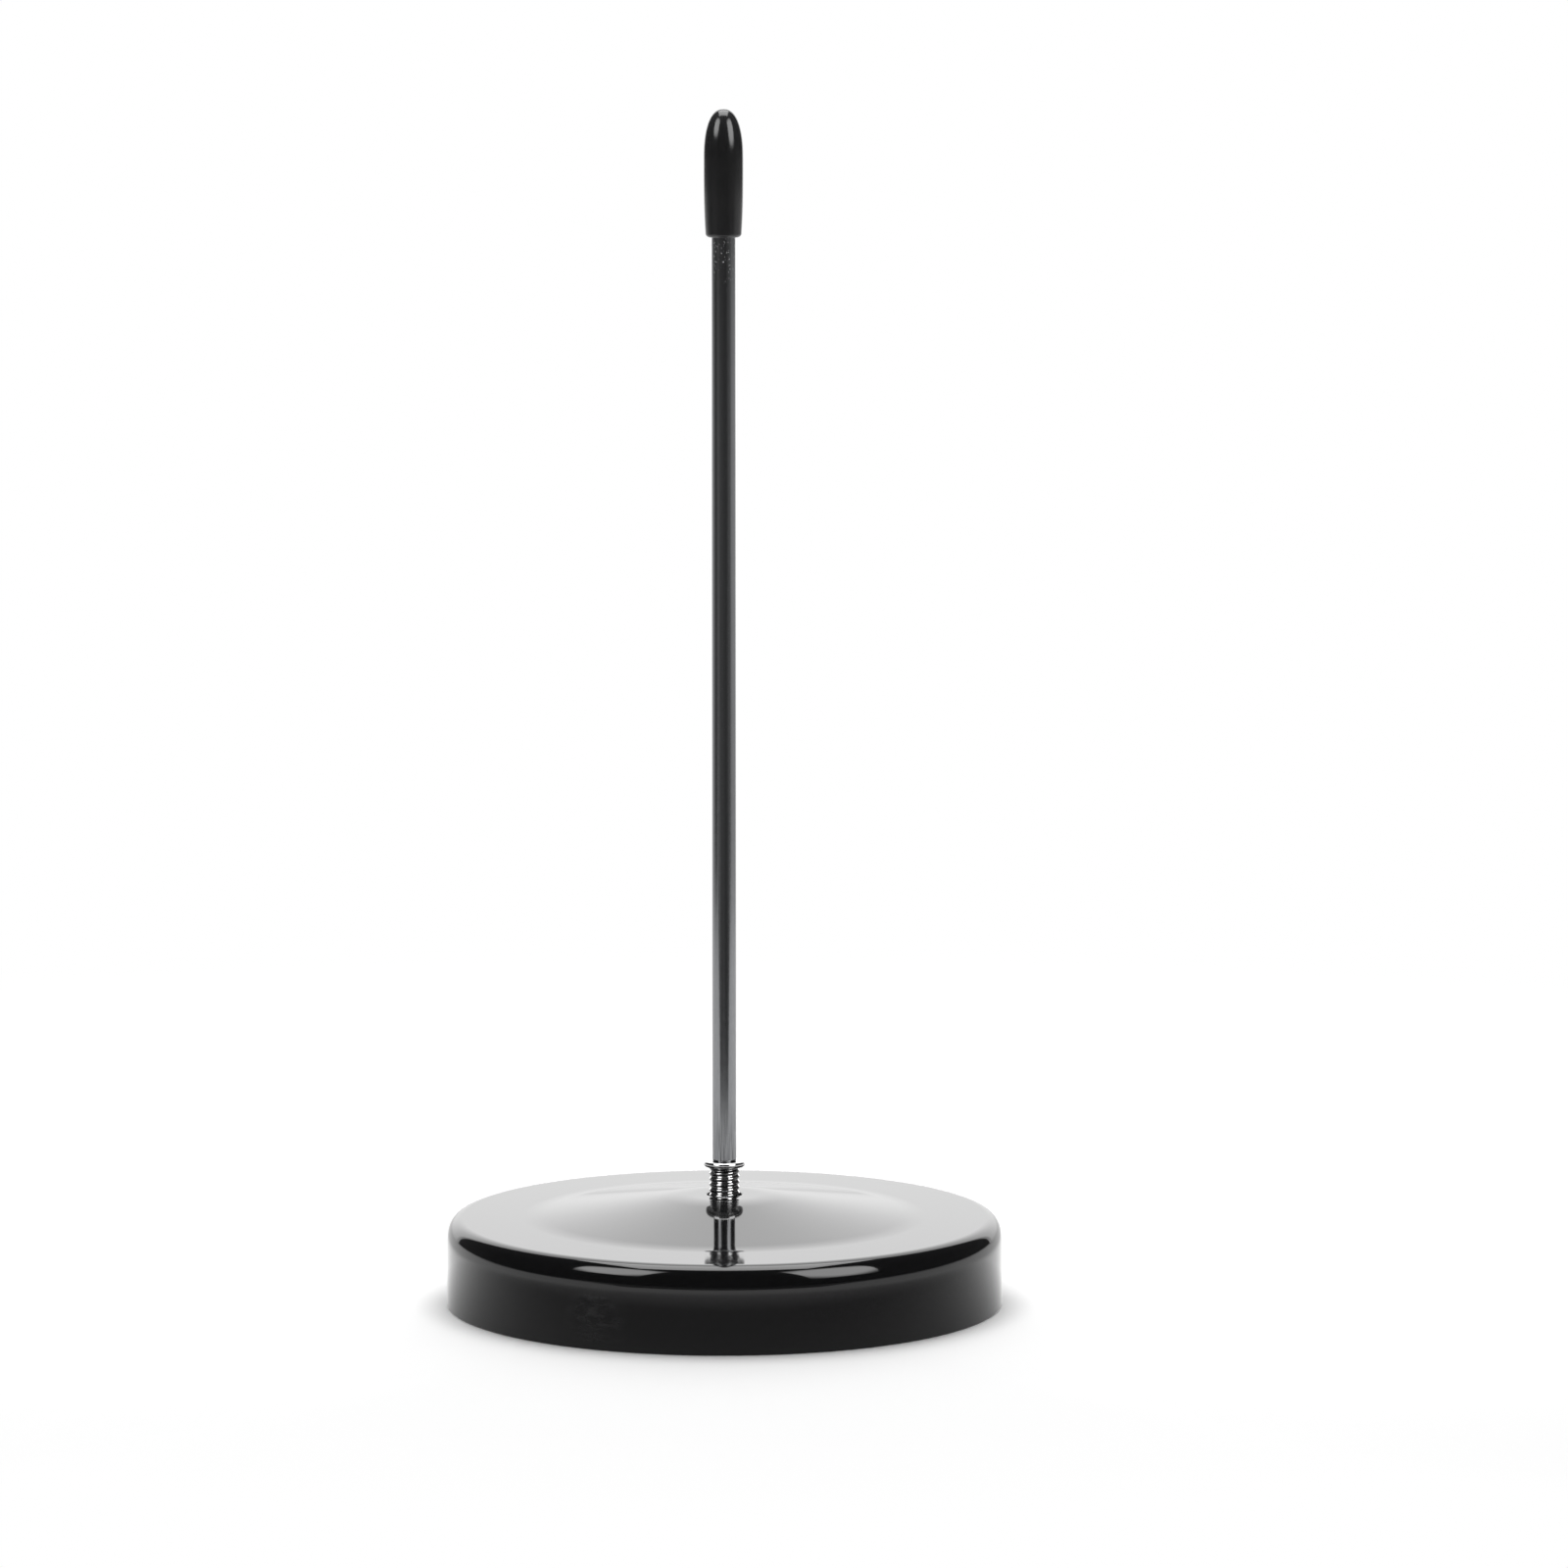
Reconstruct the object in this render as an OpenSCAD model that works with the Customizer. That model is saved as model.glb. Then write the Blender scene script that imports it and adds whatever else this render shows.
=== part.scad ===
// Bill spike: a pressed round base, a screw-in spike and a soft cap over its point.
// Millimetres, +Z up, origin at the middle of the base's rest face.

/* [Base] */
// Diameter of the base
base_d = 70; // [62:1:100]
// Height of the outer ring where the raised middle starts
base_h = 11.05; // [9.5:0.05:16]
// Slope of the outer ring, which falls gently to the shoulder, in degrees
ring_fall = 0.6; // [0:0.1:2]
// Thickness of the pressed sheet
sheet_t = 0.8; // [0.5:0.1:1.2]
// How far the rolled shoulder reaches in from the wall
shoulder_w = 2.2; // [1.6:0.1:2.6]
// How far the rolled shoulder reaches down from the ring
shoulder_h = 3.7; // [2:0.1:4.2]
// Fullness of the rolled shoulder: 2 is an ellipse, more is tighter in its middle
shoulder_fullness = 2.6; // [2:0.1:3]
// Diameter at which the raised middle starts
crease_d = 48.2; // [40:0.2:54]
// Height of the raised middle above the outer ring
middle_rise = 2.7; // [2.2:0.1:4]
// How far the soft bend lifts the sheet where the raised middle starts
crease_lift = 0.05; // [0.02:0.01:0.1]
// How far the soft bend lowers the sheet at the rim of the flat seat
seat_drop = 0.07; // [0.02:0.01:0.08]
// Flat seat beyond the corners of the nut
seat_margin = 1.95; // [1.95:0.05:3]

/* [Nut] */
// Width of the nut across its flats
nut_af = 7; // [6.5:0.5:9]
// Height of the nut
nut_h = 3.2; // [2.4:0.1:4.4]
// How far the chamfer cuts in at the corners of the nut's lower face
nut_chamfer = 0.5; // [0.2:0.1:0.8]

/* [Screw] */
// Outside diameter of the thread
thread_d = 4; // [3.8:0.1:4.4]
// Pitch of the thread
thread_pitch = 0.7; // [0.6:0.05:0.8]
// Length of the thread below the collar
thread_l = 9.2; // [8.2:0.1:10.5]
// Length of thread that shows between the base and the collar
thread_shown = 3.55; // [2.5:0.05:4]
// Diameter of the collar
collar_d = 5.2; // [4.8:0.1:7]
// Thickness of the collar
collar_t = 0.75; // [0.5:0.05:1.2]
// Share of the collar's thickness that its two rounded edges take
collar_edge_share = 0.9; // [0.2:0.05:0.95]

/* [Spike] */
// Diameter of the rod
spike_d = 3; // [2.6:0.1:4]
// Length of the rod from the collar to its point
spike_l = 130.25; // [100:0.05:200]
// Length of the sharpened point
point_l = 9; // [6:0.5:12]
// Diameter left at the very tip of the point
tip_d = 0.4; // [0.2:0.1:0.8]
// Diameter of the reduced end that is set in the screw
spigot_d = 2; // [1.6:0.1:2.2]
// Length of the reduced end
spigot_l = 5; // [3:0.1:6]

/* [Cap] */
// Length of the cap
cap_l = 15.9; // [13:0.1:20]
// Wall of the cap at its widest
cap_wall = 0.93; // [0.7:0.01:1.3]
// How much the outside draws in towards the mouth, on the radius
mouth_taper = 0.25; // [0.1:0.01:0.3]
// Share of the wall's thickness at the mouth that the rounded lip takes
lip_share = 0.8; // [0.4:0.05:0.9]
// Length of the rounded nose
nose_l = 6.1; // [4:0.1:7]
// Fullness of the nose: 2 is an ellipse, more is blunter
nose_fullness = 2.35; // [2:0.05:3]
// Solid vinyl over the point
cap_end_t = 1.6; // [1.2:0.1:2.5]

/* [Fits] */
// Radial gap between the thread and the nut
thread_gap = 0.1; // [0.08:0.01:0.14]
// Radial gap between the thread and the hole in the base
hole_gap = 0.2; // [0.12:0.02:0.5]
// Radial gap between the reduced end and its socket
spigot_gap = 0.03; // [0.02:0.01:0.06]
// Gap at the bottom of the socket
socket_end_gap = 0.2; // [0.1:0.05:0.4]
// Radial gap between the rod and the cap
cap_gap = 0.04; // [0.03:0.01:0.08]
// Gap between the tip of the point and the end of the cap's bore
tip_gap = 0.1; // [0.05:0.05:0.3]

/* [Hidden] */
$fn = 96;
overlap = 0.1;
bend_steps = 6;
face_steps = 48;
shoulder_steps = 16;
thread_sides = 24;
rings_per_turn = 8;

base_r = base_d / 2;
crease_r = crease_d / 2;
spike_r = spike_d / 2;
thread_r = thread_d / 2;
// Depth of a rolled metric thread, as a share of the pitch
thread_depth = 0.54 * thread_pitch;
hole_r = thread_r + hole_gap;
nut_corner_r = nut_af / 2 / cos(30);
seat_r = nut_corner_r + seat_margin;
seat_z = base_h + middle_rise;

nut_top_z = face_z(nut_corner_r) - sheet_t;
collar_z = seat_z + thread_shown;
collar_edge_r = collar_edge_share * collar_t / 2;
spike_z = collar_z + collar_t;
tip_z = spike_z + spike_l;
cap_top_z = tip_z + tip_gap + cap_end_t;
cap_mouth_z = cap_top_z - cap_l;
cap_bore_r = spike_r + cap_gap;
cap_r = cap_bore_r + cap_wall;
lip_r = lip_share * (cap_wall - mouth_taper);
nose_z = cap_top_z - nose_l;

function reversed(list) = [for (i = [len(list) - 1 : -1 : 0]) list[i]];

// Points of an arc about centre, from one angle to another
function arc(centre, radius, from, to, steps) =
    [for (i = [0 : steps]) let (a = from + (to - from) * i / steps) centre + radius * [cos(a), sin(a)]];

// Points of a quarter of an oval about centre with two half widths, from its widest place up to its top
function quarter_oval(centre, half, fullness, steps) =
    [
        for (i = [0 : steps])
            let (a = 90 * i / steps, share = [pow(cos(a), 2 / fullness), pow(sin(a), 2 / fullness)])
            centre + [half.x * share.x, half.y * share.y]
    ];

// The larger or the smaller of two heights, with a parabola of this height in the corner between them
function soft_max(a, b, ease) = max(a, b) + pow(max(4 * ease - abs(a - b), 0), 2) / (16 * ease);
function soft_min(a, b, ease) = a + b - soft_max(a, b, ease);

// Height of the base's outer face at a radius: level seat, conical flank, then the falling ring
function face_z(r) =
    let (
        flank = seat_z - middle_rise * (r - seat_r) / (crease_r - seat_r),
        ring = base_h - (r - crease_r) * tan(ring_fall)
    )
    soft_max(ring, soft_min(seat_z, flank, seat_drop), crease_lift);

// Half section of the base's sheet at a depth below its outer face, from the hole out to the rest face.
// The shoulder is a quarter oval that keeps its centre, so the sheet stays about as thick round it.
function sheet_line(depth) =
    let (
        shoulder = [base_r - shoulder_w, face_z(base_r - shoulder_w) - shoulder_h],
        half = [shoulder_w - depth, shoulder_h - depth],
        step = (shoulder.x - nut_corner_r) / face_steps
    )
    concat(
        [[hole_r, face_z(hole_r) - depth]],
        [for (i = [0 : face_steps - 1]) let (r = nut_corner_r + step * i) [r, face_z(r) - depth]],
        reversed(quarter_oval(shoulder, half, shoulder_fullness, shoulder_steps)),
        [[base_r - depth, 0]]
    );

// Radius of a right-hand thread with a rounded profile, at an angle and a height
function thread_radius(outer_r, angle, z) =
    outer_r - thread_depth / 2 * (1 - cos(360 * z / thread_pitch - angle));

// One closed solid with a helical thread from z = 0 to length. lead_in tapers the lower end.
module helical_thread(outer_r, length, start_z, lead_in) {
    rings = ceil(length / thread_pitch * rings_per_turn);
    root_r = outer_r - thread_depth;
    points = [
        for (i = [0 : rings], k = [0 : thread_sides - 1])
            let (
                z = length * i / rings,
                angle = 360 * k / thread_sides,
                full_r = thread_radius(outer_r, angle, start_z + z),
                r = lead_in > 0 ? min(full_r, root_r - lead_in + z) : full_r
            )
            [r * cos(angle), r * sin(angle), z]
    ];
    bottom = [for (k = [0 : thread_sides - 1]) k];
    top = [for (k = [thread_sides - 1 : -1 : 0]) rings * thread_sides + k];
    sides = [
        for (i = [0 : rings - 1], k = [0 : thread_sides - 1])
            let (
                a = i * thread_sides + k,
                b = i * thread_sides + (k + 1) % thread_sides,
                c = b + thread_sides,
                d = a + thread_sides
            )
            each [[a, d, c], [a, c, b]]
    ];
    polyhedron(points, concat([bottom], [top], sides));
}

module base_shell() {
    color("#141416")
    rotate_extrude()
    polygon(concat(sheet_line(0), reversed(sheet_line(sheet_t))));
}

module fixing_nut() {
    nut_z = nut_top_z - nut_h;
    color("#8f9296")
    translate([0, 0, nut_z])
    difference() {
        intersection() {
            cylinder(r = nut_corner_r, h = nut_h, $fn = 6);
            cylinder(r1 = nut_corner_r - nut_chamfer, r2 = nut_corner_r - nut_chamfer + nut_h, h = nut_h);
        }
        translate([0, 0, -overlap])
        helical_thread(thread_r + thread_gap, nut_h + 2 * overlap, nut_z - overlap, 0);
    }
}

module threaded_foot() {
    thread_z = collar_z - thread_l;
    rim_r = collar_d / 2 - collar_edge_r;
    color("#c9ccd1")
    difference() {
        union() {
            translate([0, 0, thread_z])
            helical_thread(thread_r, thread_l + overlap, thread_z, thread_depth);
            translate([0, 0, collar_z])
            rotate_extrude()
            polygon(concat(
                [[0, 0]],
                arc([rim_r, collar_edge_r], collar_edge_r, -90, 0, bend_steps),
                arc([rim_r, collar_t - collar_edge_r], collar_edge_r, 0, 90, bend_steps),
                [[0, collar_t]]
            ));
        }
        translate([0, 0, spike_z - spigot_l - socket_end_gap])
        cylinder(r = spigot_d / 2 + spigot_gap, h = spigot_l + socket_end_gap + overlap);
    }
}

module spike_rod() {
    color("#8c8e91")
    rotate_extrude()
    polygon([
        [0, spike_z - spigot_l],
        [spigot_d / 2, spike_z - spigot_l],
        [spigot_d / 2, spike_z],
        [spike_r, spike_z],
        [spike_r, tip_z - point_l],
        [tip_d / 2, tip_z],
        [0, tip_z]
    ]);
}

module safety_cap() {
    nose_steps = 14;
    wall_steps = 8;
    wall_l = nose_z - cap_mouth_z;
    nose = quarter_oval([0, nose_z], [cap_r, nose_l], nose_fullness, nose_steps);
    // Below the nose the outside draws in, slowly at first, down to the top of the lip.
    lip_top = lip_r / wall_l;
    wall = [
        for (i = [0 : wall_steps - 1])
            let (down = 1 - lip_top - (1 - lip_top) * i / wall_steps)
            [cap_r - mouth_taper * pow(down, 3), nose_z - wall_l * down]
    ];
    lip = arc([wall[0].x - lip_r, cap_mouth_z + lip_r], lip_r, -90, 0, bend_steps);
    color("#222224")
    rotate_extrude()
    polygon(concat(
        [[cap_bore_r, cap_mouth_z]],
        lip,
        wall,
        nose,
        [
            [0, tip_z + tip_gap],
            [tip_d / 2 + cap_gap, tip_z + tip_gap],
            [cap_bore_r, tip_z - point_l + tip_gap]
        ]
    ));
}

base_shell();
fixing_nut();
threaded_foot();
spike_rod();
safety_cap();
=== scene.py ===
"""Bill spike: a gloss black pressed base, a plated screw, a steel rod and a soft black cap.

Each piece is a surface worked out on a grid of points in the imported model's frame: metres, +Z up along
the rod, the photograph's front towards -Y.
"""

import bpy
import numpy as np
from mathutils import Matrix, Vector


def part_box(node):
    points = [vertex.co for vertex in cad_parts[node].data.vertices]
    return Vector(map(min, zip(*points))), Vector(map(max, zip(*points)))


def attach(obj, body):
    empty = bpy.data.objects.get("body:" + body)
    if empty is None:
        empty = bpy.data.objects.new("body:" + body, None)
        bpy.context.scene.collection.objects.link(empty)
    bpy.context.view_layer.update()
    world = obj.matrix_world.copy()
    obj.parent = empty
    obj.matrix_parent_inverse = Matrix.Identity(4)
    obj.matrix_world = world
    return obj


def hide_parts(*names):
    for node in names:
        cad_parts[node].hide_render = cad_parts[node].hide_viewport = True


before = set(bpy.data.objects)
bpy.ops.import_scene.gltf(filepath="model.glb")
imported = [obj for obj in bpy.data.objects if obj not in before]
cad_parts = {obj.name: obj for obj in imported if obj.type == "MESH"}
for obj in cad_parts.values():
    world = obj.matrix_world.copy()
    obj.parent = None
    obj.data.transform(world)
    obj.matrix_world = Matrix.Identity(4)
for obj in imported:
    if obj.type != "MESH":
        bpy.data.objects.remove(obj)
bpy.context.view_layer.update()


# Base: one round pressing of sheet steel, stove enamelled gloss black, with thinner paint inside. The press
# leaves a level seat round the screw hole, a shallow cone, a ring that falls gently outwards and a rolled
# shoulder, taller than wide. It stands on the trimmed edge of its wall.
MM = 0.001
base_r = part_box("base_shell")[1].x
ring_z = 11.05 * MM
ring_fall = np.radians(0.6)
middle_rise = 2.7 * MM
crease_r = 24.1 * MM
crease_lift = 0.05 * MM
seat_r = 6 * MM
seat_drop = 0.07 * MM
hole_r = 2.2 * MM
shoulder_half = np.array((2.2, 3.7)) * MM
shoulder_fullness = 2.6
sheet_t = 0.8 * MM
trimmed_edge_r = 0.15 * MM
seat_z = ring_z + middle_rise
sharp_fold = np.radians(40)  # a fold beyond this is shaded as a hard edge


def soft_max(a, b, ease):
    """The larger of two heights; near their crossing a parabola lifts the corner by ease."""
    return np.maximum(a, b) + np.maximum(4 * ease - np.abs(a - b), 0) ** 2 / (16 * ease)


def face_z(r):
    """Height of the base's outer face: level seat, then a cone falling to the crease, then the ring.

    The seat and the flank meet in a softened lower bound, the flank and the ring in a softened upper one.
    """
    flank = seat_z - middle_rise * (r - seat_r) / (crease_r - seat_r)
    ring = ring_z - (r - crease_r) * np.tan(ring_fall)
    middle = seat_z + flank - soft_max(seat_z, flank, seat_drop)
    return soft_max(ring, middle, crease_lift)


def line(start, end, steps):
    """Points of a straight stretch of a profile, without its last one."""
    return np.linspace(start, end, steps, endpoint=False)


def arc(centre, radius, start, end, steps):
    """Points of a round stretch of a profile, from one angle to another in degrees."""
    angle = np.radians(np.linspace(start, end, steps))[:, None]
    return np.array(centre) + radius * np.hstack((np.cos(angle), np.sin(angle)))


def quarter_oval(centre, half, fullness, steps):
    """Points of a profile from the top of an oval down to its widest place, without the top itself.

    They are its half widths times powers of a sine and a cosine: fullness 2 gives an ellipse, and more
    gives flatter ends and a tighter middle.
    """
    angle = np.linspace(0, np.pi / 2, steps + 1)[1:, None]
    return np.array(centre) + half * np.hstack((np.sin(angle), np.abs(np.cos(angle)))) ** (2 / fullness)


def around(radius, height, columns):
    """Grid of points: row by row, a profile's radius and height carried round the axis in equal steps.

    Both are columns of numbers, one for each row, or whole grids where the shape changes with the angle.
    """
    turn = np.linspace(0, 2 * np.pi, columns, endpoint=False)
    return np.stack(np.broadcast_arrays(radius * np.cos(turn), radius * np.sin(turn), height), axis=-1)


def skin(name, points, closed):
    """Piece whose faces join neighbouring points of a grid; its columns wrap round the axis.

    A closed profile joins its last row to its first. An open one ends in a pole at each end, the middle of
    its first and of its last row.
    """
    rows, columns, _ = points.shape
    index = np.arange(rows * columns).reshape(rows, columns)
    if closed:
        index = np.vstack((index, index[:1]))
    beside = np.roll(index, -1, axis=1)
    quads = np.stack((index[:-1], index[1:], beside[1:], beside[:-1]), axis=-1).reshape(-1, 4)
    vertices = points.reshape(-1, 3)
    faces = quads.tolist()
    if not closed:
        first, last = rows * columns, rows * columns + 1
        vertices = np.vstack((vertices, points[0].mean(axis=0), points[-1].mean(axis=0)))
        faces += np.column_stack((np.full(columns, first), index[0], beside[0])).tolist()
        faces += np.column_stack((index[-1], np.full(columns, last), beside[-1])).tolist()
    mesh = bpy.data.meshes.new(name)
    mesh.from_pydata(vertices.tolist(), [], faces)
    mesh.shade_smooth()
    mesh.set_sharp_from_angle(angle=sharp_fold)
    piece = bpy.data.objects.new(name, mesh)
    bpy.context.scene.collection.objects.link(piece)
    return piece


def dress(piece, material, body, node):
    """Gives a piece its finish and the body that it rides on, and hides the imported node that it stands
    for.
    """
    piece.data.materials.append(material)
    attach(piece, body)
    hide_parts(node)


def linear(colour):
    """An sRGB hex colour as linear red, green, blue and alpha."""
    share = np.array([int(colour[i:i + 2], 16) for i in (1, 3, 5)]) / 255
    low, high = share / 12.92, ((share + 0.055) / 1.055) ** 2.4
    return (*np.where(share <= 0.04045, low, high).tolist(), 1.0)


def add(tree, kind, given=None):
    """Adds a node of a kind to a tree and gives its inputs their values or links.

    An input is named, or numbered where several share a name; any other name is a property of the node. A
    Mix node's 0 is its share, 2 and 3 are the numbers that it mixes, and 6 and 7 the colours.
    """
    made = tree.nodes.new("ShaderNode" + kind)
    for key, value in (given or {}).items():
        if isinstance(key, str) and key not in made.inputs:
            setattr(made, key, value)
        elif isinstance(value, bpy.types.NodeSocket):
            tree.links.new(value, made.inputs[key])
        else:
            made.inputs[key].default_value = value
    return made


def new_material(name):
    """A new material with an empty node tree, and the tree."""
    material = bpy.data.materials.new(name)
    material.use_nodes = True
    material.node_tree.nodes.clear()
    return material, material.node_tree


face_steps = 100
shoulder_steps = 60
inner_steps = 24
wall_steps = 8
edge_steps = 5
shoulder_x = base_r - shoulder_half[0]
shoulder_z = face_z(shoulder_x) - shoulder_half[1]
inside_r = base_r - sheet_t
hole_rim_r = hole_r + trimmed_edge_r
face_r = np.linspace(hole_rim_r, shoulder_x, face_steps)
outer_face = np.column_stack((face_r, face_z(face_r)))
inner_face = np.column_stack((face_r, face_z(face_r) - sheet_t))[::-2]
wall_foot_z = 2 * trimmed_edge_r  # a row close above the rounded edge keeps the wall's shading straight
outside = np.vstack((
    outer_face,
    quarter_oval((shoulder_x, shoulder_z), shoulder_half, shoulder_fullness, shoulder_steps),
    line((base_r, shoulder_z), (base_r, wall_foot_z), wall_steps)[1:],
    [(base_r, wall_foot_z)],
    arc((base_r - trimmed_edge_r, trimmed_edge_r), trimmed_edge_r, 0, -90, edge_steps),
))
inside = np.vstack((
    arc((inside_r + trimmed_edge_r, trimmed_edge_r), trimmed_edge_r, -90, -180, edge_steps),
    line((inside_r, wall_foot_z), (inside_r, shoulder_z), wall_steps),
    quarter_oval((shoulder_x, shoulder_z), shoulder_half - sheet_t, shoulder_fullness, inner_steps)[::-1],
    inner_face[:-1],
))
hole_edge = np.vstack((
    arc((hole_rim_r, inner_face[-1, 1] + trimmed_edge_r), trimmed_edge_r, -90, -180, edge_steps),
    arc((hole_rim_r, outer_face[0, 1] - trimmed_edge_r), trimmed_edge_r, 180, 90, edge_steps)[:-1],
))
base_columns = 360
base_profile = np.vstack((outside, inside, hole_edge))
base_grid = around(base_profile[:, :1], base_profile[:, 1:], base_columns)
base_shell = skin("base_shell_enamelled", base_grid, closed=True)
thin_rows = np.repeat((0.0, 1.0, 0.0), (len(outside), len(inside), len(hole_edge)))
thin_paint = base_shell.data.attributes.new("thin_paint", "FLOAT", "POINT")
thin_paint.data.foreach_set("value", np.repeat(thin_rows, base_columns))

# Black stove enamel: sprayed and baked, so outside it lies like glass over a faint orange peel, and inside,
# where the spray was thin, it is greyer and dull. Handling has left one faint scuff low on the wall.
gloss_black = linear("#161617")
scuffed_black = linear("#343435")
dusty_black = linear("#2c2c2d")
gloss_roughness = 0.06
scuffed_roughness = 0.25
thin_roughness = 0.42
peel_size = 2.4 * MM
peel_height = 0.002 * MM
dust_size = 0.35 * MM
smudge_size = (1.6 * MM, 1.6 * MM, 0.7 * MM)
smudge_limits = (0.42, 0.75)
scuff_place = (-15.6 * MM, -31.3 * MM, 3.9 * MM)
scuff_r = 5 * MM
enamel, tree = new_material("black_stove_enamel")
place = add(tree, "TexCoord").outputs["Object"]
peel = add(tree, "TexNoise", {"Vector": place, "Scale": 1 / peel_size, "Detail": 2})
dust = add(tree, "TexNoise", {"Vector": place, "Scale": 1 / dust_size, "Detail": 3})
smudge_place = add(tree, "Mapping", {"Vector": place, "Scale": [1 / size for size in smudge_size]})
smudges = add(tree, "TexNoise", {"Vector": smudge_place.outputs[0], "Scale": 1, "Detail": 5})
scuff_reach = add(tree, "VectorMath", {"operation": "DISTANCE", 0: place, 1: scuff_place})
scuff_share = add(
    tree, "MapRange", {"Value": scuff_reach.outputs["Value"], "From Min": scuff_r, "From Max": 0}
)
smudge_share = add(
    tree,
    "MapRange",
    {"Value": smudges.outputs["Fac"], "From Min": smudge_limits[0], "From Max": smudge_limits[1]},
)
scuff = add(
    tree,
    "Math",
    {"operation": "MULTIPLY", 0: scuff_share.outputs["Result"], 1: smudge_share.outputs["Result"]},
)
thin = add(tree, "Attribute", {"attribute_name": "thin_paint"}).outputs["Fac"]
outside_colour = add(
    tree, "Mix", {"data_type": "RGBA", 0: scuff.outputs[0], 6: gloss_black, 7: scuffed_black}
)
inside_colour = add(
    tree, "Mix", {"data_type": "RGBA", 0: dust.outputs["Fac"], 6: gloss_black, 7: dusty_black}
)
enamel_colour = add(
    tree,
    "Mix",
    {"data_type": "RGBA", 0: thin, 6: outside_colour.outputs[2], 7: inside_colour.outputs[2]},
)
outside_roughness = add(
    tree, "MapRange", {"Value": scuff.outputs[0], "To Min": gloss_roughness, "To Max": scuffed_roughness}
)
enamel_roughness = add(tree, "Mix", {0: thin, 2: outside_roughness.outputs["Result"], 3: thin_roughness})
enamel_bump = add(tree, "Bump", {"Distance": peel_height, "Height": peel.outputs["Fac"]})
enamel_shader = add(
    tree,
    "BsdfPrincipled",
    {
        "IOR": 1.5,
        "Base Color": enamel_colour.outputs[2],
        "Roughness": enamel_roughness.outputs[0],
        "Normal": enamel_bump.outputs["Normal"],
    },
)
add(tree, "OutputMaterial", {"Surface": enamel_shader.outputs["BSDF"]})
dress(base_shell, enamel, "base", "base_shell")


# Nut: a plain hexagon nut of zinc plated steel, welded by its flat top under the seat of the base, with
# its corners chamfered below. It holds the screw, which thin sheet alone could not.
nut_low, nut_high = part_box("fixing_nut")
nut_corner_r = nut_high.x
nut_chamfer = 0.5 * MM
thread_r = 1.95 * MM
thread_pitch = 0.7 * MM
thread_depth = 0.22 * MM
thread_gap = 0.15 * MM
thread_round = 0.95
rows_per_turn = 20


def thread_radius(crest_r, turn, z):
    """Radius of a right-hand thread at a turn and a height: a zigzag whose crests and roots are rounded.

    The zigzag is the arc cosine of a slightly shrunk cosine, and its crest climbs one pitch a turn.
    """
    wave = np.arccos(thread_round * np.cos(2 * np.pi * z / thread_pitch - turn))
    crest, root = np.arccos(thread_round), np.arccos(-thread_round)
    return crest_r - thread_depth * (wave - crest) / (root - crest)


nut_columns = 144
nut_turn = np.linspace(0, 2 * np.pi, nut_columns, endpoint=False)
flat_r = nut_corner_r * np.cos(np.pi / 6)
side_r = flat_r / np.cos(nut_turn % (np.pi / 3) - np.pi / 6)
foot_r = np.minimum(side_r, nut_corner_r - nut_chamfer)
level = np.ones(nut_columns)
thread_rows = int((nut_high.z - nut_low.z) / thread_pitch * rows_per_turn)
nut_thread_z = np.linspace(nut_low.z, nut_high.z, thread_rows)[:, None]
nut_thread_r = thread_radius(thread_r + thread_gap, nut_turn, nut_thread_z)
nut_radius = np.vstack((side_r, side_r, foot_r, nut_thread_r))
nut_height = np.vstack((
    level * nut_high.z,
    nut_low.z + side_r - foot_r,
    level * nut_low.z,
    nut_thread_z * level,
))
fixing_nut = skin("fixing_nut_plated", around(nut_radius, nut_height, nut_columns), closed=True)

# Zinc plated steel: a thin bright coat on a machined nut, pale grey with slightly cloudy gloss.
clouded_zinc = linear("#a9acb0")
bright_zinc = linear("#c4c7ca")
zinc_roughness_limits = (0.22, 0.4)
cloud_size = 1.5 * MM
zinc, tree = new_material("zinc_plated_steel")
place = add(tree, "TexCoord").outputs["Object"]
clouds = add(tree, "TexNoise", {"Vector": place, "Scale": 1 / cloud_size, "Detail": 4})
zinc_colour = add(
    tree, "Mix", {"data_type": "RGBA", 0: clouds.outputs["Fac"], 6: clouded_zinc, 7: bright_zinc}
)
zinc_roughness = add(
    tree,
    "MapRange",
    {
        "Value": clouds.outputs["Fac"],
        "To Min": zinc_roughness_limits[0],
        "To Max": zinc_roughness_limits[1],
    },
)
zinc_shader = add(
    tree,
    "BsdfPrincipled",
    {
        "Metallic": 1.0,
        "Base Color": zinc_colour.outputs[2],
        "Roughness": zinc_roughness.outputs["Result"],
    },
)
add(tree, "OutputMaterial", {"Surface": zinc_shader.outputs["BSDF"]})
dress(fixing_nut, zinc, "base", "fixing_nut")


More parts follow.
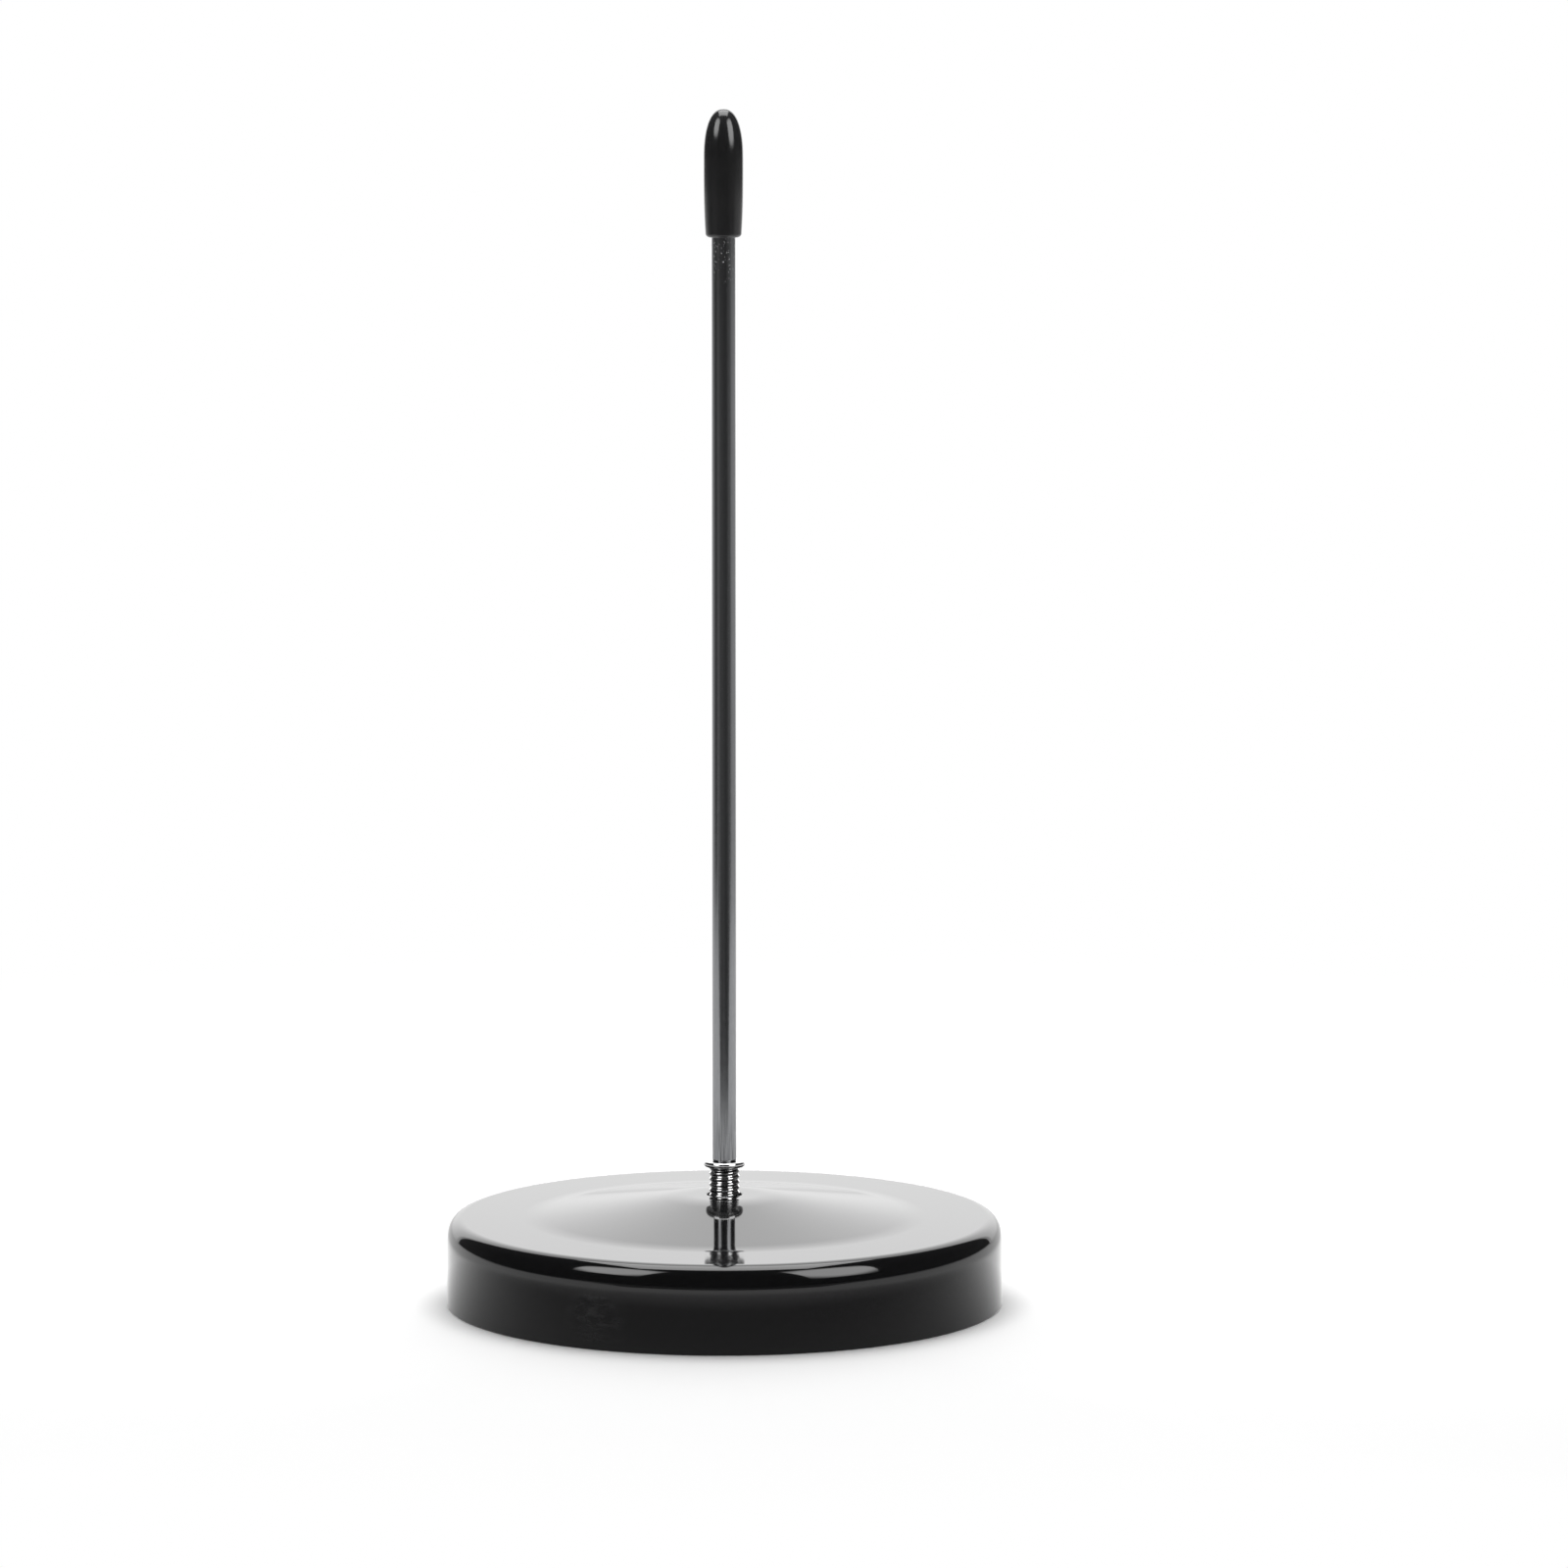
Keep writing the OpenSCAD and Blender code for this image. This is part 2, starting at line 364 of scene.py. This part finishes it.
# Threaded foot: a turned screw with a round collar, plated bright nickel. Its thread runs down into the
# nut under the base, and a socket in its top takes the reduced end of the rod.
screw_low, screw_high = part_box("threaded_foot")
rod_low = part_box("spike_rod")[0]
collar_t = 0.75 * MM
collar_edge_share = 0.9  # of its thickness, taken by its two rounded edges
collar_edge_r = collar_edge_share * collar_t / 2
collar_r = screw_high.x
collar_z = screw_high.z - collar_t
socket_r = 1.03 * MM
socket_gap = 0.2 * MM
socket_z = rod_low.z - socket_gap
rim_r = collar_r - collar_edge_r
socket_steps = 4
collar_steps = 16
collar_edge_steps = 8
rim_steps = 6
underside_steps = 4
screw_columns = 96
screw_turn = np.linspace(0, 2 * np.pi, screw_columns, endpoint=False)
collar_profile = np.vstack((
    line((socket_r, socket_z), (socket_r, screw_high.z), socket_steps),
    line((socket_r, screw_high.z), (rim_r, screw_high.z), collar_steps),
    arc((rim_r, screw_high.z - collar_edge_r), collar_edge_r, 90, 0, collar_edge_steps),
    line((collar_r, screw_high.z - collar_edge_r), (collar_r, collar_z + collar_edge_r), rim_steps)[1:],
    arc((rim_r, collar_z + collar_edge_r), collar_edge_r, 0, -90, collar_edge_steps),
    line((rim_r, collar_z), (thread_r, collar_z), underside_steps)[1:],
))
thread_rows = int((collar_z - screw_low.z) / thread_pitch * rows_per_turn)
screw_z = np.linspace(collar_z, screw_low.z, thread_rows)[:, None]
lead_in_r = thread_r - 2 * thread_depth + (screw_z - screw_low.z)
screw_thread_r = np.minimum(thread_radius(thread_r, screw_turn, screw_z), lead_in_r)
level = np.ones(screw_columns)
screw_radius = np.vstack((collar_profile[:, :1] * level, screw_thread_r))
screw_height = np.vstack((collar_profile[:, 1:] * level, screw_z * level))
threaded_foot = skin("threaded_foot_plated", around(screw_radius, screw_height, screw_columns), closed=False)

# Bright nickel plate: mirror-like over fine turning marks, which soften its gloss here and there.
marked_nickel = linear("#cfcfd0")
bright_nickel = linear("#dcdcdc")
nickel_roughness_limits = (0.05, 0.13)
turning_size = (1.2 * MM, 1.2 * MM, 0.09 * MM)
nickel, tree = new_material("bright_nickel_plate")
place = add(tree, "TexCoord").outputs["Object"]
turning_place = add(tree, "Mapping", {"Vector": place, "Scale": [1 / size for size in turning_size]})
turning = add(tree, "TexNoise", {"Vector": turning_place.outputs[0], "Scale": 1, "Detail": 2})
nickel_colour = add(
    tree, "Mix", {"data_type": "RGBA", 0: turning.outputs["Fac"], 6: marked_nickel, 7: bright_nickel}
)
nickel_roughness = add(
    tree,
    "MapRange",
    {
        "Value": turning.outputs["Fac"],
        "To Min": nickel_roughness_limits[0],
        "To Max": nickel_roughness_limits[1],
    },
)
nickel_shader = add(
    tree,
    "BsdfPrincipled",
    {
        "Metallic": 1.0,
        "Base Color": nickel_colour.outputs[2],
        "Roughness": nickel_roughness.outputs["Result"],
    },
)
add(tree, "OutputMaterial", {"Surface": nickel_shader.outputs["BSDF"]})
dress(threaded_foot, nickel, "screw", "threaded_foot")


# Spike: drawn round steel rod with a ground point, hidden in the cap, and a reduced lower end set in the
# socket of the threaded foot. It stands square on the collar.
rod_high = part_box("spike_rod")[1]
rod_r = rod_high.x
point_l = 9 * MM
tip_r = 0.2 * MM
spigot_r = 1 * MM
rod_edge_r = 0.1 * MM
collar_clearance = 0.01 * MM  # keeps the two touching faces from lying in one plane
rod_foot_z = screw_high.z + collar_clearance
rod_side_z = rod_foot_z + 2 * rod_edge_r  # rows close to both ends of its side keep its shading straight
point_foot_z = rod_high.z - point_l
point_steps = 48
rod_steps = 64
spigot_steps = 4
rod_columns = 96
rod_profile = np.vstack((
    line((tip_r, rod_high.z), (rod_r, point_foot_z), point_steps),
    [(rod_r, point_foot_z)],
    line((rod_r, point_foot_z - rod_edge_r), (rod_r, rod_side_z), rod_steps),
    [(rod_r, rod_side_z)],
    arc((rod_r - rod_edge_r, rod_foot_z + rod_edge_r), rod_edge_r, 0, -90, edge_steps),
    line((spigot_r, rod_foot_z), (spigot_r, rod_low.z), spigot_steps),
    [(spigot_r, rod_low.z)],
))
rod_grid = around(rod_profile[:, :1], rod_profile[:, 1:], rod_columns)
spike_rod = skin("spike_rod_drawn", rod_grid, closed=False)

# Drawn steel: pulled through a die, so faint lines run along it, fainter pits lie between them and its
# gloss is satin. Pushing the cap on and off has left small bright nicks at the top of it, and setting it in
# its foot has left dark smears just above the collar.
dull_steel = linear("#7c7d7f")
bright_steel = linear("#a2a3a5")
smeared_steel = linear("#505153")
nicked_steel = linear("#dcdcdc")
steel_roughness_limits = (0.08, 0.2)
draw_line_size = (0.22 * MM, 0.22 * MM, 30 * MM)
draw_line_height = 0.003 * MM
pit_size = (0.25 * MM, 0.25 * MM, 1 * MM)
pit_share = 0.4
nick_size = (0.2 * MM, 0.2 * MM, 0.4 * MM)
nick_height = 0.03 * MM
nick_limits = (0.64, 0.7)
nick_foot_z = 127 * MM
nick_top_z = 134 * MM
smear_size = (0.15 * MM, 0.15 * MM, 4 * MM)
smear_limits = (0.4, 0.75)
smear_top_z = 26 * MM
steel, tree = new_material("drawn_steel")
place = add(tree, "TexCoord").outputs["Object"]
line_place = add(tree, "Mapping", {"Vector": place, "Scale": [1 / size for size in draw_line_size]})
draw_lines = add(tree, "TexNoise", {"Vector": line_place.outputs[0], "Scale": 1, "Detail": 4})
pit_place = add(tree, "Mapping", {"Vector": place, "Scale": [1 / size for size in pit_size]})
pits = add(tree, "TexNoise", {"Vector": pit_place.outputs[0], "Scale": 1, "Detail": 2})
nick_place = add(tree, "Mapping", {"Vector": place, "Scale": [1 / size for size in nick_size]})
nick_grain = add(tree, "TexNoise", {"Vector": nick_place.outputs[0], "Scale": 1, "Detail": 2})
height = add(tree, "SeparateXYZ", {"Vector": place}).outputs["Z"]
near_cap = add(tree, "MapRange", {"Value": height, "From Min": nick_foot_z, "From Max": nick_top_z})
nick_spot = add(
    tree,
    "MapRange",
    {"Value": nick_grain.outputs["Fac"], "From Min": nick_limits[0], "From Max": nick_limits[1]},
)
nick = add(
    tree,
    "Math",
    {"operation": "MULTIPLY", 0: near_cap.outputs["Result"], 1: nick_spot.outputs["Result"]},
)
smear_place = add(tree, "Mapping", {"Vector": place, "Scale": [1 / size for size in smear_size]})
smear_grain = add(tree, "TexNoise", {"Vector": smear_place.outputs[0], "Scale": 1, "Detail": 3})
near_foot = add(tree, "MapRange", {"Value": height, "From Min": smear_top_z, "From Max": rod_foot_z})
smear_spot = add(
    tree,
    "MapRange",
    {"Value": smear_grain.outputs["Fac"], "From Min": smear_limits[0], "From Max": smear_limits[1]},
)
smear = add(
    tree,
    "Math",
    {"operation": "MULTIPLY", 0: near_foot.outputs["Result"], 1: smear_spot.outputs["Result"]},
)
wear = add(tree, "Mix", {0: pit_share, 2: draw_lines.outputs["Fac"], 3: pits.outputs["Fac"]})
wear_colour = add(
    tree, "Mix", {"data_type": "RGBA", 0: wear.outputs[0], 6: dull_steel, 7: bright_steel}
)
smeared_colour = add(
    tree,
    "Mix",
    {"data_type": "RGBA", 0: smear.outputs[0], 6: wear_colour.outputs[2], 7: smeared_steel},
)
steel_colour = add(
    tree,
    "Mix",
    {"data_type": "RGBA", 0: nick.outputs[0], 6: smeared_colour.outputs[2], 7: nicked_steel},
)
steel_roughness = add(
    tree,
    "MapRange",
    {
        "Value": wear.outputs[0],
        "To Min": steel_roughness_limits[0],
        "To Max": steel_roughness_limits[1],
    },
)
line_bump = add(tree, "Bump", {"Distance": draw_line_height, "Height": draw_lines.outputs["Fac"]})
steel_bump = add(
    tree,
    "Bump",
    {"Distance": nick_height, "Height": nick.outputs[0], "Normal": line_bump.outputs["Normal"]},
)
steel_shader = add(
    tree,
    "BsdfPrincipled",
    {
        "Metallic": 1.0,
        "Base Color": steel_colour.outputs[2],
        "Roughness": steel_roughness.outputs["Result"],
        "Normal": steel_bump.outputs["Normal"],
    },
)
add(tree, "OutputMaterial", {"Surface": steel_shader.outputs["BSDF"]})
dress(spike_rod, steel, "spike", "spike_rod")


# Cap: soft black vinyl, dipped on a former, so it has a bullet nose, walls that draw in a little towards
# the mouth and a rounded lip. It grips the rod and pulls off by hand.
cap_low, cap_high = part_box("safety_cap")
cap_r = cap_high.x
nose_l = 6.1 * MM
nose_fullness = 2.35
mouth_taper = 0.25 * MM
lip_r = 0.544 * MM
grip_gap = 0.04 * MM
point_gap = 0.1 * MM
bore_r = rod_r + grip_gap
bore_end_z = rod_high.z + point_gap
nose_z = cap_high.z - nose_l
wall_l = nose_z - cap_low.z
nose_steps = 48
cap_wall_steps = 32
lip_steps = 10
cap_columns = 128
nose = quarter_oval((0, nose_z), np.array((cap_r, nose_l)), nose_fullness, nose_steps)
down = np.linspace(0, 1 - lip_r / wall_l, cap_wall_steps)[1:]
drawn_in = mouth_taper * down ** 3  # hardly at all under the nose, and most at the mouth
wall = np.column_stack((cap_r - drawn_in, nose_z - wall_l * down))
cap_profile = np.vstack((
    nose,
    wall,
    arc((wall[-1, 0] - lip_r, cap_low.z + lip_r), lip_r, 0, -90, lip_steps)[1:],
    [(bore_r, cap_low.z)],
    [(bore_r, bore_end_z - point_l)],
    [(tip_r + grip_gap, bore_end_z)],
))
cap_grid = around(cap_profile[:, :1], cap_profile[:, 1:], cap_columns)
safety_cap = skin("safety_cap_dipped", cap_grid, closed=False)

# Dipped vinyl: plasticised PVC, nearly black, smooth from the dip but softer in gloss than paint.
deep_vinyl = linear("#343435")
pale_vinyl = linear("#3c3c3d")
vinyl_roughness_limits = (0.1, 0.16)
dip_size = (1.8 * MM, 1.8 * MM, 3.5 * MM)
dip_height = 0.006 * MM
vinyl, tree = new_material("dipped_vinyl")
place = add(tree, "TexCoord").outputs["Object"]
dip_place = add(tree, "Mapping", {"Vector": place, "Scale": [1 / size for size in dip_size]})
dip = add(tree, "TexNoise", {"Vector": dip_place.outputs[0], "Scale": 1, "Detail": 3})
vinyl_colour = add(
    tree, "Mix", {"data_type": "RGBA", 0: dip.outputs["Fac"], 6: deep_vinyl, 7: pale_vinyl}
)
vinyl_roughness = add(
    tree,
    "MapRange",
    {
        "Value": dip.outputs["Fac"],
        "To Min": vinyl_roughness_limits[0],
        "To Max": vinyl_roughness_limits[1],
    },
)
vinyl_bump = add(tree, "Bump", {"Strength": 0.6, "Distance": dip_height, "Height": dip.outputs["Fac"]})
vinyl_shader = add(
    tree,
    "BsdfPrincipled",
    {
        "IOR": 1.52,
        "Base Color": vinyl_colour.outputs[2],
        "Roughness": vinyl_roughness.outputs["Result"],
        "Normal": vinyl_bump.outputs["Normal"],
    },
)
add(tree, "OutputMaterial", {"Surface": vinyl_shader.outputs["BSDF"]})
dress(safety_cap, vinyl, "cap", "safety_cap")


# Stage: a white table in a dark studio, with its front edge close before the object, as the photograph's
# reflections show. To the camera its rim fades into the white background. Bearings are in degrees round the
# object, 0 in front and 90 at the right.
studio_r = 2.4
bearing_steps = 144
bearing = np.linspace(-180, 180, bearing_steps, endpoint=False)
front_end, side_start = 37, 60
front_edge_r, side_edge_r = 0.145, 0.34
table_r = np.interp(np.abs(bearing), (front_end, side_start), (front_edge_r, side_edge_r))
fade_limits = (0.35, 0.9)
shadow_r = 0.064
lit_r = 0.085
shadow_front_y = -0.06
shadow_back_y = 0.022
shadow_level = 0.2
shadow_gain = 1.3
shadow_ease = 2.3
far_level = 1.0


def stage_piece(name, points, faces, material):
    """Adds a mesh that belongs to the stage."""
    mesh = bpy.data.meshes.new(name)
    mesh.from_pydata(points.tolist(), [], faces)
    piece = bpy.data.objects.new(name, mesh)
    bpy.context.scene.collection.objects.link(piece)
    piece.data.materials.append(material)
    return piece


# The photograph's lamps stand behind, so its base shades the table before it and, less, beside it. This
# table shows the camera only a faint shadow, so the rest is put into what reflections find there: close to
# the base the level rises from the front to the back, and further out it is even.
table_paint, tree = new_material("white_table_paint")
place = add(tree, "TexCoord").outputs["Object"]
path = add(tree, "LightPath").outputs
edge_share = add(tree, "Attribute", {"attribute_name": "edge_share"}).outputs["Fac"]
fade = add(
    tree,
    "MapRange",
    {
        "interpolation_type": "SMOOTHSTEP",
        "Value": edge_share,
        "From Min": fade_limits[0],
        "From Max": fade_limits[1],
    },
)
white_share = add(
    tree, "Math", {"operation": "MULTIPLY", 0: fade.outputs["Result"], 1: path["Is Camera Ray"]}
)
matt = add(tree, "BsdfDiffuse", {"Color": linear("#ededed")})
white = add(tree, "Emission", {"Color": linear("#ffffff"), "Strength": 1.0})
seen_top = add(
    tree, "MixShader", {0: white_share.outputs[0], 1: matt.outputs["BSDF"], 2: white.outputs["Emission"]}
)
depth = add(tree, "SeparateXYZ", {"Vector": place}).outputs["Y"]
shade = add(tree, "MapRange", {"Value": depth, "From Min": shadow_front_y, "From Max": shadow_back_y})
eased = add(tree, "Math", {"operation": "POWER", 0: shade.outputs["Result"], 1: shadow_ease})
near_level = add(
    tree, "Math", {"operation": "MULTIPLY_ADD", 0: eased.outputs[0], 1: shadow_gain, 2: shadow_level}
)
reach = add(tree, "VectorMath", {"operation": "LENGTH", 0: place}).outputs["Value"]
far_share = add(tree, "MapRange", {"Value": reach, "From Min": shadow_r, "From Max": lit_r})
table_level = add(tree, "Mix", {0: far_share.outputs["Result"], 2: near_level.outputs[0], 3: far_level})
reflected_top = add(tree, "Emission", {"Strength": table_level.outputs[0]})
top_side = add(
    tree,
    "MixShader",
    {0: path["Is Glossy Ray"], 1: seen_top.outputs["Shader"], 2: reflected_top.outputs["Emission"]},
)
open_below = add(tree, "BsdfTransparent")
from_below = add(tree, "NewGeometry").outputs["Backfacing"]
table_shader = add(
    tree, "MixShader", {0: from_below, 1: top_side.outputs["Shader"], 2: open_below.outputs["BSDF"]}
)
add(tree, "OutputMaterial", {"Surface": table_shader.outputs["Shader"]})
turn = np.radians(bearing)
rim = np.column_stack((table_r * np.sin(turn), -table_r * np.cos(turn), np.zeros_like(turn)))
start = np.arange(len(rim))
wedges = np.column_stack((np.full(len(rim), len(rim)), start, np.roll(start, -1)))
table_top = stage_piece("table_top", np.vstack((rim, (0, 0, 0))), wedges.tolist(), table_paint)
share = table_top.data.attributes.new("edge_share", "FLOAT", "POINT")
share.data.foreach_set("value", np.append(np.ones(len(rim)), 0))

# Beyond the table lies a grey floor, whose tone changes with the bearing as the lamps and walls beside the
# camera leave it, and dark cloth hangs above it. Both show only in reflections.
studio_floor_z = -1 * MM
dark_end = 142.5
cloth_top = 68
lift_steps = 24
studio_floor, tree = new_material("grey_studio_floor")
place = add(tree, "TexCoord").outputs["Object"]
front = add(tree, "Mapping", {"Vector": place, "Rotation": (0, 0, np.pi / 2)})
round_share = add(tree, "TexGradient", {"gradient_type": "RADIAL", "Vector": front.outputs[0]})
tone = add(tree, "ValToRGB", {"Fac": round_share.outputs["Fac"]})
floor_tones = {
    -180: 0.9, -122: 0.75, -105: 0.35, -90: 0.15, -75: 0.12, -66: 0.2, -50: 0.25, -34: 0.14, 0: 0.11,
    20: 0.08, 34: 0.11, 50: 0.19, 62: 0.2, 72: 0.4, 85: 0.58, 180: 0.7,
}
ramp = tone.color_ramp.elements
for number, (degrees, grey) in enumerate(floor_tones.items()):
    stop = ramp[number] if number < len(ramp) else ramp.new(1.0)
    stop.position = degrees / 360 + 0.5
    stop.color = (grey, grey, grey, 1.0)
floor_glow = add(tree, "Emission", {"Color": tone.outputs["Color"]})
add(tree, "OutputMaterial", {"Surface": floor_glow.outputs["Emission"]})

cloth, tree = new_material("dark_studio_cloth")
cloth_shader = add(tree, "BsdfDiffuse", {"Color": linear("#585858")})
add(tree, "OutputMaterial", {"Surface": cloth_shader.outputs["BSDF"]})


def surround(name, radius, height, bearing, material):
    """Stage sheet: a line of radius and height swept through some bearings, unseen by the camera.

    The radius may also change with the bearing, as a grid.
    """
    turn = np.radians(bearing)
    points = np.stack(
        np.broadcast_arrays(radius * np.sin(turn), -radius * np.cos(turn), height), axis=-1
    )
    cell = np.arange(points[..., 0].size).reshape(points.shape[:2])
    quads = np.stack((cell[:-1, :-1], cell[:-1, 1:], cell[1:, 1:], cell[1:, :-1]), axis=-1)
    sheet = stage_piece(name, points.reshape(-1, 3), quads.reshape(-1, 4).tolist(), material)
    sheet.visible_camera = False


dark_side = np.abs(bearing) <= dark_end
floor_radius = np.vstack((table_r, np.full_like(table_r, studio_r)))[:, dark_side]
surround("studio_floor", floor_radius, np.full((2, 1), studio_floor_z), bearing[dark_side], studio_floor)
lift = np.radians(np.linspace(0, cloth_top, lift_steps))[:, None]
surround("studio_cloth", studio_r * np.cos(lift), studio_r * np.sin(lift), bearing[dark_side], cloth)

# Behind the table hangs a lit white sweep. It starts as bright as the table and gets brighter above it,
# quickly at first.
sweep_r = 1.3
sweep_bearing = np.linspace(145, 215, 48)
sweep_top = 65
full_rise = np.sin(np.radians(24))
sweep_gain = 1.05
sweep_ease = 0.45
sweep_light, tree = new_material("lit_white_sweep")
place = add(tree, "TexCoord").outputs["Object"]
sweep_z = add(tree, "SeparateXYZ", {"Vector": place}).outputs["Z"]
rise = add(tree, "MapRange", {"Value": sweep_z, "From Max": sweep_r * full_rise})
eased = add(tree, "Math", {"operation": "POWER", 0: rise.outputs["Result"], 1: sweep_ease})
sweep_level = add(
    tree, "Math", {"operation": "MULTIPLY_ADD", 0: eased.outputs[0], 1: sweep_gain, 2: far_level}
)
sweep_glow = add(tree, "Emission", {"Strength": sweep_level.outputs[0]})
add(tree, "OutputMaterial", {"Surface": sweep_glow.outputs["Emission"]})
lift = np.radians(np.linspace(0, sweep_top, lift_steps))[:, None]
surround("lit_sweep", sweep_r * np.cos(lift), sweep_r * np.sin(lift), sweep_bearing, sweep_light)


def card(name, centre, size, level):
    """Stage card of a width and a height that faces the object. Only reflections see it.

    It is evenly lit in its middle, and from half way to its corners its level falls smoothly to nothing.
    """
    glow, tree = new_material(name + "_glow")
    place = add(tree, "TexCoord").outputs["Object"]
    reach = add(tree, "VectorMath", {"operation": "DISTANCE", 0: place, 1: centre})
    corner_reach = np.hypot(*size) / 2
    share = add(
        tree,
        "MapRange",
        {
            "interpolation_type": "SMOOTHSTEP",
            "Value": reach.outputs["Value"],
            "From Min": corner_reach,
            "From Max": corner_reach / 2,
            "To Max": level,
        },
    )
    light = add(tree, "Emission", {"Strength": share.outputs["Result"]})
    add(tree, "OutputMaterial", {"Surface": light.outputs["Emission"]})
    aim = card_target - Vector(centre)
    across = aim.cross((0, 0, 1)).normalized() * size[0] / 2
    upright = across.cross(aim).normalized() * size[1] / 2
    corners = np.array([
        Vector(centre) + side * across + up * upright for side, up in ((-1, -1), (1, -1), (1, 1), (-1, 1))
    ])
    sheet = stage_piece(name, corners, [[0, 1, 2, 3]], glow)
    sheet.visible_camera = False
    sheet.visible_diffuse = False


# A bright card stands on each side of the camera for the highlights, and one softbox hangs overhead.
card_target = Vector((0, 0, 0.05))
card("left_card", centre=(-0.52, -0.42, 0.54), size=(0.45, 0.5), level=5.5)
card("right_card", centre=(0.52, -0.42, 0.46), size=(0.45, 0.6), level=5.5)
overhead_level = 4.6
overhead_size = (0.9, 0.85)
lamp = bpy.data.lights.new("overhead_softbox", "AREA")
lamp.shape = "RECTANGLE"
lamp.size, lamp.size_y = overhead_size
lamp.energy = overhead_level * np.pi * overhead_size[0] * overhead_size[1]
overhead = bpy.data.objects.new("overhead_softbox", lamp)
bpy.context.scene.collection.objects.link(overhead)
overhead.location = (0, 0.12, 1.0)
overhead.visible_camera = False

world = bpy.data.worlds.new("white_studio")
bpy.context.scene.world = world
world.use_nodes = True
tree = world.node_tree
tree.nodes.clear()
path = add(tree, "LightPath").outputs
seen = add(tree, "Math", {"operation": "MAXIMUM", 0: path["Is Camera Ray"], 1: path["Is Glossy Ray"]})
ambient = add(tree, "Background", {"Color": linear("#ffffff"), "Strength": 0.2})
white = add(tree, "Background", {"Color": linear("#ffffff"), "Strength": 1.0})
sky = add(tree, "MixShader", {0: seen.outputs[0], 1: ambient.outputs[0], 2: white.outputs[0]})
add(tree, "OutputWorld", {"Surface": sky.outputs["Shader"]})

# Camera: a long lens at the photograph's height, looking slightly down and past the right of the rod.
camera_tilt = np.radians(7.11)
camera = bpy.data.objects.new("camera", bpy.data.cameras.new("camera"))
bpy.context.scene.collection.objects.link(camera)
camera.location = (7.5 * MM, -963 * MM, 185.9 * MM)
camera.rotation_euler = (np.pi / 2 - camera_tilt, 0, 0)
camera.data.sensor_width = 36
camera.data.lens = 178.1
bpy.context.scene.camera = camera
bpy.context.scene.view_settings.view_transform = "Standard"
